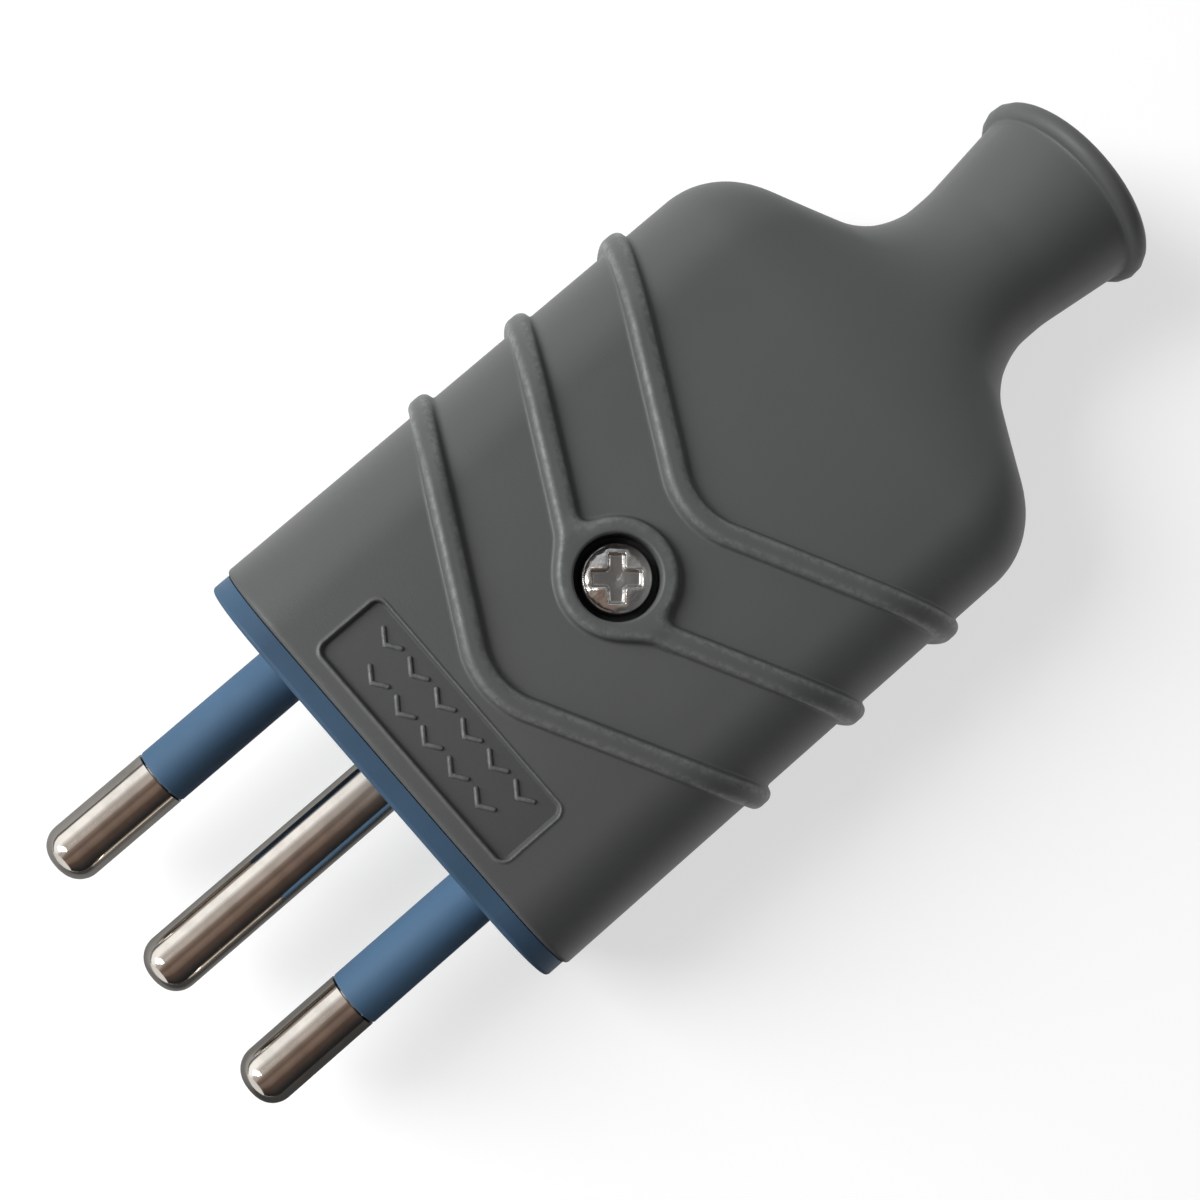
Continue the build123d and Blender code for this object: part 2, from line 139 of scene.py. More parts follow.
# A dim card on the floor in front of the plug, which draws the pins' outlines: half its
# width, its length and its lift over the floor, and its glow across it by share of the width
UNDER_CARD_HALF, UNDER_CARD_LENGTH, UNDER_CARD_LIFT = 0.69, 0.3, 0.0003
UNDER_CARD_GLOW = (
    (0.0, 0.33),
    (0.4786, 0.33),
    (0.4914, 0.27),
    (0.4957, 0.19),
    (0.5057, 0.18),
    (0.51, 0.03),
    (1.0, 0.02),
)

# The cover's sizes in millimetres, the same as the solids': +Y runs from the pins' face to
# the cable mouth and +Z is the side of the cover screw
HALF_WIDTH, HALF_HEIGHT = 16.8, 7.2
CORNER = 6.2
BODY_LEAN, NECK_LEAN = math.radians(4), math.radians(24)
BODY_CROWN = math.tan(BODY_LEAN / 2)
CORNER_X = (HALF_WIDTH - CORNER - BODY_CROWN * (HALF_HEIGHT - CORNER)) / (1 - BODY_CROWN**2)
CORNER_Z = HALF_HEIGHT - CORNER - BODY_CROWN * CORNER_X
COVER_FRONT, COVER_WALL, NECK_WALL, FRONT_EDGE = 1.45, 1.9, 1.55, 0.3
BODY_LENGTH, SHOULDER_ROUND, NECK_ROUND = 39.2, 5.8, 6.3
SHOULDER_TURN = math.radians(62.5)
NECK_RADIUS, THROAT_RADIUS, THROAT_LENGTH = 5.85, 4.3, 3.0
BOOT_LENGTH, BOOT_RADIUS, BOOT_BEND = 9.3, 6.75, 9.0
MOUTH_OUTSIDE, BEAD_RADIUS = 7.4, 0.7
MOUTH_RADIUS = MOUTH_OUTSIDE - 2 * BEAD_RADIUS
ROUNDS_DROP = (SHOULDER_ROUND + NECK_ROUND) * (1 - math.cos(SHOULDER_TURN))
SLOPE_DROP = HALF_WIDTH - NECK_RADIUS - ROUNDS_DROP
CONVEX_END = BODY_LENGTH + SHOULDER_ROUND * math.sin(SHOULDER_TURN)
SLOPE_END = CONVEX_END + SLOPE_DROP / math.tan(SHOULDER_TURN)
NECK = SLOPE_END + NECK_ROUND * math.sin(SHOULDER_TURN)
BEAD_Y = NECK + BOOT_LENGTH - BEAD_RADIUS
RIB_APEXES = (9.6, 17.9, 26.2)
RIB_WIDTH, RIB_HEIGHT, RIB_EDGE, RIB_BEND = 1.6, 0.75, 0.6, 5.5
RIB_ANGLE = math.radians(28)
SCREW_Y, RING_RADIUS, RING_TOP, RING_EDGE = 19.76, 3.85, 8.0, 0.45
WELL_RADIUS, WELL_EDGE, HEAD_SEAT, SEAT_UNDERSIDE = 2.77, 0.2, 5.2, 4.2
SEAT_RADIUS, HOLE_RADIUS = 4.17, 1.7
PANEL_WIDTH, PANEL_LENGTH, PANEL_Y, PANEL_DEPTH, PANEL_CORNER = 17.4, 4.9, 5.35, 0.3, 0.6

# Detail that the solids leave out: how far the hollow join of ribs and ring reaches and
# over what margin their heights blend, and the panel's sloping wall and raised lip
JOIN_REACH, JOIN_MARGIN = 1.1, 0.1
PANEL_WALL = 0.14
PANEL_LIP, PANEL_LIP_OUT, PANEL_LIP_WIDTH = 0.09, 0.16, 0.1

# The bead's soft foot on the boot: the distance before the bead's middle at which the boot's
# radius is taken, pairs of distance and rise over that radius, and the angle from which the
# bead is round
BEAD_ROOT = 0.75
BEAD_FOOT = ((0.83, 0.005), (0.755, 0.04), (0.712, 0.09))
BEAD_START = math.radians(-80)

# Wear that is partly a painted highlight: how pale the panel's lip and the chevrons are worn,
# how far inside the edge of a rib or the ring the pale worn line lies, and that line's width
LIP_WEAR_AND_HIGHLIGHT, MARK_WEAR_AND_HIGHLIGHT = 0.6, 0.9
EDGE_WEAR_HIGHLIGHT_IN, EDGE_WEAR_HIGHLIGHT_WIDTH = 0.3, 0.22

# Raised chevrons in the panel: two staggered rows
MARK_ROWS = ((6, 6.5), (5, 4.35))
MARK_PITCH, MARK_HALF, MARK_RISE = 2.5, 0.85, 0.6
MARK_WIDTH, MARK_HEIGHT, MARK_SUNK = 0.34, 0.17, 0.03

# Cover screw: the head's radius, edge and crown, its cross recess, and the thread below it.
# The crown is 0.4 mm above the solid's, so that the head catches the light. The rings of the
# mesh start beside the axis, where a small flat face closes them
HEAD_RADIUS, HEAD_ROUND, HEAD_CROWN, HEAD_TILT = 2.25, 0.15, 7.2, math.radians(23)
RECESS_SPAN, RECESS_ARM, RECESS_DEPTH, RECESS_WALL = 3.1, 0.95, 0.8, 0.2
RECESS_TURN = math.radians(49)
RECESS_CORNER, RECESS_SLOPE = 0.25, 0.2
THREAD_RADIUS, THREAD_PITCH, THREAD_DEPTH, THREAD_POINT = 1.5, 0.5, 0.22, 0.35
THREAD_START, THREAD_END = 0.2, 0.6
SCREW_TURNS, SCREW_AXIS = 180, 0.02

# Wear of the screw's head: the worn edge of its recess, by depth and width, and its dents,
# each kind by depth, fineness and layer of the noise
WORN_DEPTH, WORN_WIDTH = 0.02, 0.1
DENTS = ((0.014, 2.3, 4.0), (0.006, 7, 9.0))

# How much paler the sleeves are than the carrier
SLEEVE_TONE = 1.38

# The region of the grid that the round patch at the screw takes over, and the patch's radius
PATCH_X, PATCH_NEAR, PATCH_FAR = 6.0, 14.2, 24.85
PATCH_RADIUS = 4.75

# Where the grid's lines lie: close columns at the panel's side walls, rows before the panel,
# how far outside and inside the panel's edges its close rows reach, the rows' distances from a
# rib's centre line, and the rows of the cavity's ceiling behind, before and round the seat
WALL_COLUMNS = (8.1, 9.1)
FRONT_ROWS = [1.95, 2.2, 2.35]
PANEL_ROWS_OUT, PANEL_ROWS_IN = 0.4, 0.7
RIB_ROWS = (0, 0.12, 0.24, 0.4, 0.54, 0.66, 0.76, 0.84, 0.9, 0.96, 1.02, 1.1, 1.2, 1.3)
CEILING_BEHIND, CEILING_BEFORE = [36, 30, 26], [12, 8, 4]
CEILING_SEAT = (24.6, 15.0)

# The screw well's rows below its rim, and the small bevel at its foot
WELL_ROWS = (7.2, 6.4, 5.7)
WELL_BEVEL = 0.1


def spread(first, last, count):
    """Evenly spaced values from first to last, in so many steps."""
    return [first + (last - first) * step / count for step in range(count + 1)]


def mesh_piece(name, points, faces, material, marking=None, values=None):
    """A smooth-shaded object of the plug, from points in millimetres, with a value at each."""
    mesh = bpy.data.meshes.new(name)
    mesh.from_pydata([tuple(value * MM for value in point) for point in points], [], faces)
    mesh.validate()
    if marking:
        mesh.attributes.new(marking, "FLOAT", "POINT").data.foreach_set("value", values)
    mesh.polygons.foreach_set("use_smooth", [True] * len(mesh.polygons))
    mesh.materials.append(material)
    piece = bpy.data.objects.new(name, mesh)
    bpy.context.scene.collection.objects.link(piece)
    return piece


class Signal:
    """A shader socket that takes part in Python arithmetic by adding Math nodes."""

    def __init__(self, graph, socket):
        self.graph = graph
        self.socket = socket

    def _math(self, operation, *values):
        return self.graph.node("ShaderNodeMath", {"operation": operation}, dict(enumerate(values)))

    def __add__(self, other):
        return self._math("ADD", self, other)

    __radd__ = __add__

    def __sub__(self, other):
        return self._math("SUBTRACT", self, other)

    def __rsub__(self, other):
        return self._math("SUBTRACT", other, self)

    def __mul__(self, other):
        return self._math("MULTIPLY", self, other)

    __rmul__ = __mul__

    def most(self, other):
        """The larger of two signals."""
        return self._math("MAXIMUM", self, other)

    def smooth(self, low, high):
        """0 below low, 1 above high, and a smooth step between them."""
        settings = {"interpolation_type": "SMOOTHSTEP"}
        return self.graph.node("ShaderNodeMapRange", settings, {0: self, 1: low, 2: high})


class Graph:
    """A node tree, to which nodes are added one by one."""

    def __init__(self, tree):
        self.tree = tree

    def fill(self, socket, value):
        """Links a signal to a socket, or sets the socket's value."""
        if isinstance(value, Signal):
            self.tree.links.new(value.socket, socket)
        else:
            socket.default_value = value

    def node(self, kind, settings=None, sockets=None, output=0):
        """Adds a node: its settings first, then the values or links of its sockets."""
        made = self.tree.nodes.new(kind)
        for name, value in (settings or {}).items():
            if name == "stops":
                ramp = made.color_ramp.elements
                ramp[0].position, ramp[0].color = value[0]
                ramp[1].position, ramp[1].color = value[-1]
                for position, colour in value[1:-1]:
                    ramp.new(position).color = colour
            else:
                setattr(made, name, value)
        for name, value in (sockets or {}).items():
            self.fill(made.inputs[name], value)
        return Signal(self, made.outputs[output])

    def seen(self):
        """1 for the rays that show a surface directly, in a reflection or through glass."""
        kinds = ("Is Camera Ray", "Is Glossy Ray", "Is Transmission Ray")
        camera, glossy, passing = (self.node("ShaderNodeLightPath", output=kind) for kind in kinds)
        return camera.most(glossy).most(passing)

    def mix(self, factor, first, second):
        """Blends two colours."""
        settings = {"data_type": "RGBA", "blend_type": "MIX"}
        return self.node("ShaderNodeMix", settings, {0: factor, 6: first, 7: second}, output=2)


class Finish(Graph):
    """One surface's material: a Principled shader and the nodes that feed it."""

    def __init__(self, name, colour, roughness, metallic=0.0):
        self.material = bpy.data.materials.new(name)
        self.material.use_nodes = True
        super().__init__(self.material.node_tree)
        self.shader = self.tree.nodes["Principled BSDF"]
        self.colour = (*colour, 1.0)
        self.put("Base Color", self.colour)
        self.put("Roughness", roughness)
        self.put("Metallic", metallic)

    def put(self, socket, value):
        """Sets or links one socket of the shader."""
        self.fill(self.shader.inputs[socket], value)

    def place(self, scale=(1.0, 1.0, 1.0)):
        """The point on the surface, in millimetres, stretched by scale."""
        point = self.node("ShaderNodeTexCoord", output="Object")
        stretch = tuple(share / MM for share in scale)
        return self.node("ShaderNodeVectorMath", {"operation": "MULTIPLY"}, {0: point, 1: stretch})

    def noise(self, size, detail=2.0, scale=(1.0, 1.0, 1.0), roughness=0.5):
        """Noise from 0 to 1, with features of a size in millimetres."""
        sockets = {"Vector": self.place(scale), "Scale": 1 / size, "Detail": detail}
        return self.node("ShaderNodeTexNoise", None, {**sockets, "Roughness": roughness})

    def carried(self, name):
        """A value that the mesh carries at each of its points."""
        return self.node("ShaderNodeAttribute", {"attribute_name": name}, output="Fac")

    def shade(self, amount):
        """The finish's own colour, made lighter or darker."""
        return tuple(min(1.0, channel * amount) for channel in self.colour[:3]) + (1.0,)

    def bump(self, height, depth):
        """Adds relief of a depth in millimetres to the shader's normal."""
        sockets = {"Height": height, "Strength": 1.0, "Distance": depth * MM}
        self.put("Normal", self.node("ShaderNodeBump", None, sockets))


def moulded_rubber(colour):
    """Satin rubber: fine spark-eroded grain, faint flow marks, edges worn pale in specks, which is partly a
    painted highlight, and a panel floor darkened as painted shade."""
    finish = Finish("moulded_rubber", colour, 0.5)
    flow = finish.noise(14.0, 3.0, (1.0, 0.45, 1.0))
    grain = finish.noise(0.12, 3.0)
    tone = finish.mix(flow.smooth(0.3, 0.7), finish.shade(0.94), finish.shade(1.06))
    # The carried mark: 1 along rounded edges, worn pale partly as a painted highlight; -1 on the panel's
    # floor, for painted shade
    edge = finish.carried("rounded_edge")
    # Painted shade: the panel's recessed floor is darkened
    tone = finish.mix((edge * -1.0).smooth(0.0, 1.0), tone, finish.shade(0.74))
    specks = finish.noise(0.45, 5.0, roughness=0.7).smooth(0.42, 0.6)
    # Pale worn specks along rounded edges, partly a painted highlight
    worn_and_highlight = edge * (0.25 + specks * 0.75)
    finish.put("Base Color", finish.mix(worn_and_highlight * 0.8, tone, finish.shade(1.9)))
    finish.put("Roughness", 0.4 + flow * 0.1 + grain * 0.08 - worn_and_highlight * 0.12)
    finish.put("Specular IOR Level", 0.5)
    finish.bump(grain * 0.7 + finish.noise(0.5, 2.0) * 0.3, 0.012)
    return finish.material


def moulded_insulation(name, colour):
    """Satin blue thermoplastic: soft tonal drift, fine grain and faint drawn lines."""
    finish = Finish(name, colour, 0.42)
    drift = finish.noise(6.0, 3.0)
    lines = finish.noise(0.5, 2.0, (1.0, 0.06, 1.0))
    finish.put("Base Color", finish.mix(drift.smooth(0.3, 0.7), finish.shade(0.92), finish.shade(1.1)))
    finish.put("Roughness", 0.46 + drift * 0.08 + lines * 0.06)
    finish.put("Specular IOR Level", 0.3)
    finish.bump(finish.noise(0.18, 2.0) * 0.6 + lines * 0.4, 0.006)
    return finish.material


def plated_nickel(name, colour, stretch, roughness):
    """Nickel plate: warm grey metal with fine drawn scratches, small cloudy patches and painted shade in the
    screw's cross recess and on its shank.
    """
    finish = Finish(name, colour, roughness, 1.0)
    scratches = finish.noise(0.09, 3.0, stretch)
    cloud = finish.noise(1.8, 4.0)
    recess_shade = finish.carried("recess")
    plate = finish.mix(cloud.smooth(0.35, 0.75), finish.shade(1.05), finish.shade(0.86))
    # Painted shade: darker and rougher in the screw's cross recess and on its shank
    finish.put("Base Color", finish.mix(recess_shade * (0.5 + cloud * 0.5), plate, finish.shade(0.3)))
    worn = scratches * 0.05 + cloud.smooth(0.45, 0.8) * 0.05
    finish.put("Roughness", roughness * 0.6 + worn + recess_shade * 0.25)
    finish.bump(scratches, 0.0015)
    return finish.material


def dress(node, material):
    """Gives a carried-over solid its material, in every slot."""
    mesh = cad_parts[node].data
    mesh.materials.clear()
    mesh.materials.append(material)


class CoverForm:
    """The cover's surface in millimetres: its section, and the relief on its outer skin."""

    def __init__(self, root_round):
        self.root_round = root_round

    def section(self, y):
        """Centre and radius of the corner arcs, and the lean of the crowned sides."""
        if y <= BODY_LENGTH:
            return CORNER_X, CORNER_Z, CORNER, BODY_LEAN
        if y >= NECK:
            return 0.0, 0.0, self.boot_radius(y), NECK_LEAN
        share = (y - BODY_LENGTH) / (NECK - BODY_LENGTH)
        wide = self.shoulder_width(y)
        high = NECK_RADIUS + (HALF_HEIGHT - NECK_RADIUS) * (1 + math.cos(math.pi * share)) / 2
        flatness = (wide - NECK_RADIUS) / (HALF_WIDTH - NECK_RADIUS)
        lean = NECK_LEAN + (BODY_LEAN - NECK_LEAN) * flatness
        crown = math.tan(lean / 2)
        centre_z = CORNER_Z * flatness
        corner = (high - crown * wide - centre_z * (1 - crown**2)) / (1 - crown)
        return wide - corner - crown * centre_z, centre_z, corner, lean

    def shoulder_width(self, y):
        """Half width along the shoulder: a round, a straight slope and a hollow."""
        if y <= CONVEX_END:
            return HALF_WIDTH - SHOULDER_ROUND + math.sqrt(SHOULDER_ROUND**2 - (y - BODY_LENGTH) ** 2)
        if y <= SLOPE_END:
            drop = (y - CONVEX_END) * math.tan(SHOULDER_TURN)
            return HALF_WIDTH - SHOULDER_ROUND * (1 - math.cos(SHOULDER_TURN)) - drop
        return NECK_RADIUS + NECK_ROUND - math.sqrt(max(NECK_ROUND**2 - (NECK - y) ** 2, 0.0))

    def bell(self, y, radius, straight, end_radius):
        """Radius along a straight throat that opens, over one bend, into a cone."""
        corner_y = NECK + straight
        turn = math.atan((end_radius - radius) / (BEAD_Y - corner_y))
        bend_start = corner_y - BOOT_BEND * math.tan(turn / 2)
        if y <= bend_start:
            return radius
        if y <= bend_start + BOOT_BEND * math.sin(turn):
            return radius + BOOT_BEND - math.sqrt(BOOT_BEND**2 - (y - bend_start) ** 2)
        return end_radius - (BEAD_Y - y) * math.tan(turn)

    def boot_radius(self, y):
        return self.bell(y, NECK_RADIUS, THROAT_LENGTH / 2, BOOT_RADIUS)

    def throat_radius(self, y):
        return self.bell(y, THROAT_RADIUS, THROAT_LENGTH, MOUTH_RADIUS)

    def skin(self, column, y, inset=0.0):
        """Point and outward normal of one column of the section at y."""
        centre_x, centre_z, corner, lean = self.section(y)
        turn = column[0] + column[1] * lean
        across, up = math.cos(turn), math.sin(turn)
        tilt = math.atan2(abs(up), abs(across))
        if tilt > math.pi / 2 - lean and centre_x > 0:
            radius = corner + centre_x / math.sin(lean)
            centre_x, centre_z = 0.0, centre_z - centre_x / math.tan(lean)
        elif tilt < lean and centre_z > 0:
            radius = corner + centre_z / math.sin(lean)
            centre_x, centre_z = centre_x - centre_z / math.tan(lean), 0.0
        else:
            radius = corner
        x = math.copysign(centre_x, across) + (radius - inset) * across
        z = math.copysign(1, up) * centre_z + (radius - inset) * up
        return Vector((x, y, z)), Vector((across, 0, up))

    def chevron(self, x):
        """How far a rib's centre line lies behind its apex, at x."""
        bend_end = RIB_BEND * math.sin(RIB_ANGLE)
        if abs(x) < bend_end:
            return RIB_BEND - math.sqrt(RIB_BEND**2 - x * x)
        return abs(x) * math.tan(RIB_ANGLE) - RIB_BEND * (1 / math.cos(RIB_ANGLE) - 1)

    def rib(self, x, y):
        """Distance outside the nearest grip rib's edge, negative on the rib."""
        behind = y - self.chevron(x)
        gap = min(abs(behind - apex) for apex in RIB_APEXES)
        slope = min(abs(x) / RIB_BEND, math.sin(RIB_ANGLE))
        return gap * math.sqrt(1 - slope**2) - RIB_WIDTH / 2

    def raised(self, x, y, upper):
        """Distance outside the ribs and the ring, which join in a hollow curve; height; edge."""
        rib = self.rib(x, y)
        ring = math.hypot(x, y - SCREW_Y) - RING_RADIUS
        if not upper or ring > JOIN_REACH + 0.5:
            return rib, RIB_HEIGHT, RIB_EDGE
        share = min(max(0.5 + (ring - rib) / (2 * JOIN_REACH), 0.0), 1.0)
        outside = ring * (1 - share) + rib * share - JOIN_REACH * share * (1 - share)
        away = min(max((ring + JOIN_MARGIN) / (JOIN_REACH + 2 * JOIN_MARGIN), 0.0), 1.0)
        away = away * away * (3 - 2 * away)
        ring_height = RING_TOP - self.crown(x)
        height = ring_height + (RIB_HEIGHT - ring_height) * away
        return outside, height, RING_EDGE + (RIB_EDGE - RING_EDGE) * away

    def profile(self, outside, height, edge):
        """Height across an edge: flat top, rounded edge and hollow root."""
        if outside <= -edge:
            return height
        if outside <= 0:
            return height - edge + math.sqrt(edge**2 - (outside + edge) ** 2)
        share = max(1 - outside / self.root_round, 0.0)
        return (height - edge) * (1 - math.sqrt(1 - share**2))

    def crown(self, x):
        """Height of the plain crowned face at x."""
        radius = CORNER + CORNER_X / math.sin(BODY_LEAN)
        return CORNER_Z - CORNER_X / math.tan(BODY_LEAN) + math.sqrt(radius**2 - x * x)

    def panel(self, x, y):
        """Relief of the shallow panel near the engagement face."""
        far_x = abs(x) - PANEL_WIDTH / 2 + PANEL_CORNER
        far_y = abs(y - PANEL_Y) - PANEL_LENGTH / 2 + PANEL_CORNER
        beyond = math.hypot(max(far_x, 0.0), max(far_y, 0.0))
        outside = beyond + min(max(far_x, far_y), 0.0) - PANEL_CORNER
        share = min(max(0.5 - outside / PANEL_WALL, 0.0), 1.0)
        lip = PANEL_LIP * math.exp(-(((outside - PANEL_LIP_OUT) / PANEL_LIP_WIDTH) ** 2))
        return lip - PANEL_DEPTH * share * share * (3 - 2 * share)

    def relief(self, x, y, upper):
        """Height of the skin over its plain section, and a mark: 1 on a rounded edge, worn pale partly as a
        painted highlight; -1 on the panel's floor, darkened as painted shade.
        """
        if upper and y < RIB_APEXES[0] - RIB_WIDTH:
            height = self.panel(x, y)
            # The mark: -1 on the panel's floor for painted shade, and pale wear that is partly a painted
            # highlight on its lip
            return height, max(height, 0.0) / PANEL_LIP * LIP_WEAR_AND_HIGHLIGHT + min(height, 0.0) / PANEL_DEPTH
        outside, height, edge = self.raised(x, y, upper)
        # The pale worn line inside the edges of ribs and ring, partly a painted highlight
        near = math.exp(-(((outside + EDGE_WEAR_HIGHLIGHT_IN) / EDGE_WEAR_HIGHLIGHT_WIDTH) ** 2))
        return self.profile(outside, height, edge), near


class CoverMesh:
    """A grid of rows round the section, sheared along the ribs, with a round patch at the screw."""

    def __init__(self, form):
        self.form = form
        self.columns = self.lay_columns()
        self.points = []
        self.edges = []
        self.faces = []

    def lay_columns(self):
        """Columns as pairs: an angle, and how many times the lean is added to it."""
        quarter = math.pi / 2
        reach = CORNER_X + CORNER * math.sin(BODY_LEAN)
        radius = CORNER + CORNER_X / math.sin(BODY_LEAN)
        inner, outer = WALL_COLUMNS
        places = spread(0.0, PATCH_X, 30) + spread(PATCH_X, inner, 6)[1:]
        places += spread(inner, outer, 16)[1:] + spread(outer, reach, 6)[1:]
        shares = [math.asin(place / radius) / BODY_LEAN for place in places]
        top = [(quarter, -share) for share in reversed(shares)] + [(quarter, share) for share in shares[1:]]
        bottom = [(3 * quarter, share) for share in spread(-1.0, 1.0, 44)]
        corners = [
            [(corner * quarter + part * quarter, 1 - 2 * part) for part in spread(0.0, 1.0, 18)[1:-1]]
            for corner in range(4)
        ]
        right = [(0.0, share) for share in spread(-1.0, 1.0, 4)]
        left = [(2 * quarter, share) for share in spread(-1.0, 1.0, 4)]
        return right + corners[0] + top + corners[1] + left + corners[2] + bottom + corners[3]

    def row(self, v, shear=0.0, inset=0.0, relief=True, y_radius=None):
        """Adds one row of points and returns its first index."""
        first = len(self.points)
        for column in self.columns:
            if y_radius is not None:
                turn = column[0] + column[1] * NECK_LEAN
                self.add(y_radius * math.cos(turn), v, y_radius * math.sin(turn))
                continue
            point, normal = self.form.skin(column, min(v, BODY_LENGTH) if shear else v, inset)
            x = point.x + RIB_HEIGHT / 2 * normal.x
            y = v + shear * self.form.chevron(x)
            height, edge = self.form.relief(x, y, point.z > 0) if relief else (0.0, 0.0)
            point += normal * height
            self.add(point.x, y, point.z, edge)
        return first

    def join(self, first, second, skip=lambda index: False):
        """Quads between two rows of points."""
        count = len(self.columns)
        for index in range(count):
            following = (index + 1) % count
            if not skip(index):
                self.faces.append((first + following, first + index, second + index, second + following))

    def outer_rows(self):
        """Rows of the body as pairs of place along the plug and shear."""
        edge_near, edge_far = PANEL_Y - PANEL_LENGTH / 2, PANEL_Y + PANEL_LENGTH / 2
        straight = FRONT_ROWS + spread(edge_near - PANEL_ROWS_OUT, edge_near + PANEL_ROWS_IN, 20)
        straight += spread(edge_near + PANEL_ROWS_IN, edge_far - PANEL_ROWS_IN, 8)[1:]
        straight += spread(edge_far - PANEL_ROWS_IN, edge_far + PANEL_ROWS_OUT, 20)[1:]
        rows = [(v, 0.0) for v in straight]
        around = [-offset for offset in reversed(RIB_ROWS[1:])] + list(RIB_ROWS)
        first_edge = RIB_APEXES[0] - RIB_ROWS[-1]
        rows += list(zip(spread(edge_far + PANEL_ROWS_OUT, first_edge, 4), spread(0.0, 1.0, 4)))[1:]
        for apex, gap in zip(RIB_APEXES, (None, 34, 36)):
            if gap:
                rows += [(v, 1.0) for v in spread(rows[-1][0], apex + around[0], gap)[1:-1]]
            rows += [(apex + offset, 1.0) for offset in around[0 if gap else 1:]]
        last = rows[-1][0]
        tail = spread(last, BODY_LENGTH, 16)[1:]
        return rows + [(v, (BODY_LENGTH - v) / (BODY_LENGTH - last)) for v in tail]

    def build(self):
        """Lays all rows from the open front over the outside and back through the cavity."""
        rows = [self.row(COVER_FRONT, inset=COVER_WALL, relief=False)]
        for degrees in (0, 22, 45, 67, 90):
            angle = math.radians(degrees)
            inset = FRONT_EDGE * (1 - math.sin(angle))
            v = COVER_FRONT + FRONT_EDGE * (1 - math.cos(angle))
            rows.append(self.row(v, inset=inset, relief=False))
        body = self.outer_rows()
        start = len(rows)
        rows += [self.row(v, shear) for v, shear in body]
        patch_rows = [start + i for i, (v, shear) in enumerate(body) if PATCH_NEAR <= v <= PATCH_FAR]
        rows += [self.row(v, relief=False) for v in spread(BODY_LENGTH, NECK, 48)[1:]]
        rows += [self.row(v, y_radius=radius) for v, radius in self.boot_profile()]
        for share in spread(0.0, 1.0, 16)[1:]:
            wall = COVER_WALL * share + NECK_WALL * (1 - share)
            rows.append(self.row(NECK + (BODY_LENGTH - NECK) * share, inset=wall, relief=False))
        first_ceiling = len(rows)
        ceiling = CEILING_BEHIND + spread(*CEILING_SEAT, 24) + CEILING_BEFORE
        rows += [self.row(v, inset=COVER_WALL, relief=False) for v in ceiling]
        west, east = self.patch_columns(rows[start])
        for number, first in enumerate(rows):
            second = rows[(number + 1) % len(rows)]
            if patch_rows[0] <= number < patch_rows[-1]:
                self.join(first, second, lambda index: west <= index < east)
            elif number >= first_ceiling - 1:
                self.join(first, second, lambda index: self.over_seat(first + index, second + index))
            else:
                self.join(first, second)
        self.patch([rows[number] for number in patch_rows], west, east)

    def patch_columns(self, first):
        """The first and last column of the upper face that the patch at the screw takes over."""
        inside = [
            number
            for number, column in enumerate(self.columns)
            if column[0] == math.pi / 2 and abs(self.points[first + number][0]) < PATCH_X + 0.01
        ]
        return inside[0], inside[-1]

    def over_seat(self, *indices):
        """Whether points of the cavity's ceiling lie where the screw's seat is."""
        reach = SEAT_RADIUS - 0.3
        places = [self.points[index] for index in indices]
        return all(z > 0 and math.hypot(x, y - SCREW_Y) < reach for x, y, z in places)

    def boot_profile(self):
        """Pairs of place and radius: boot, rolled bead, bell mouth and throat."""
        form = self.form
        profile = [(v, form.boot_radius(v)) for v in spread(NECK, BEAD_Y - 1.0, 26)[1:]]
        root = form.boot_radius(BEAD_Y - BEAD_ROOT)
        profile += [(BEAD_Y - before, root + rise) for before, rise in BEAD_FOOT]
        for angle in spread(BEAD_START, math.pi, 22):
            radius = MOUTH_OUTSIDE - BEAD_RADIUS + BEAD_RADIUS * math.cos(angle)
            profile.append((BEAD_Y + BEAD_RADIUS * math.sin(angle), radius))
        profile += [(v, form.throat_radius(v)) for v in spread(BEAD_Y, NECK, 20)[1:]]
        return profile

    def patch(self, rows, west, east):
        """Round patch: from a loop of the grid's points to the ring boss, well, seat and hole."""
        loop = [rows[0] + i for i in range(west, east)] + [row + east for row in rows[:-1]]
        loop += [rows[-1] + i for i in range(east, west, -1)] + [row + west for row in reversed(rows[1:])]
        angles = [math.atan2(self.points[i][1] - SCREW_Y, self.points[i][0]) for i in loop]
        previous = loop
        for share in spread(0.0, 1.0, 12)[1:]:
            ring = []
            for index, angle in zip(loop, angles):
                circle = (PATCH_RADIUS * math.cos(angle), SCREW_Y + PATCH_RADIUS * math.sin(angle))
                x = self.points[index][0] * (1 - share) + circle[0] * share
                y = self.points[index][1] * (1 - share) + circle[1] * share
                ring.append(self.add_top(x, y))
            self.bridge(previous, ring)
            previous = ring
        reach = RING_RADIUS + self.form.root_round
        levels = spread(PATCH_RADIUS, reach, 8)[1:] + spread(reach, RING_RADIUS + 0.02, 6)[1:]
        levels += [RING_RADIUS - RING_EDGE * (1 - math.cos(a)) for a in spread(0.1, math.pi / 2, 9)]
        for radius in levels:
            ring = [self.add_top(radius * math.cos(a), SCREW_Y + radius * math.sin(a)) for a in angles]
            self.bridge(previous, ring)
            previous = ring
        well = [
            (WELL_RADIUS + WELL_EDGE * (1 - math.sin(a)), RING_TOP - WELL_EDGE * (1 - math.cos(a)))
            for a in spread(0.0, math.pi / 2, 6)
        ]
        well += [(WELL_RADIUS, z) for z in (*WELL_ROWS, HEAD_SEAT + WELL_BEVEL)]
        well += [(WELL_RADIUS - WELL_BEVEL, HEAD_SEAT), (HOLE_RADIUS, HEAD_SEAT)]
        well += [(HOLE_RADIUS, SEAT_UNDERSIDE), (SEAT_RADIUS, SEAT_UNDERSIDE)]
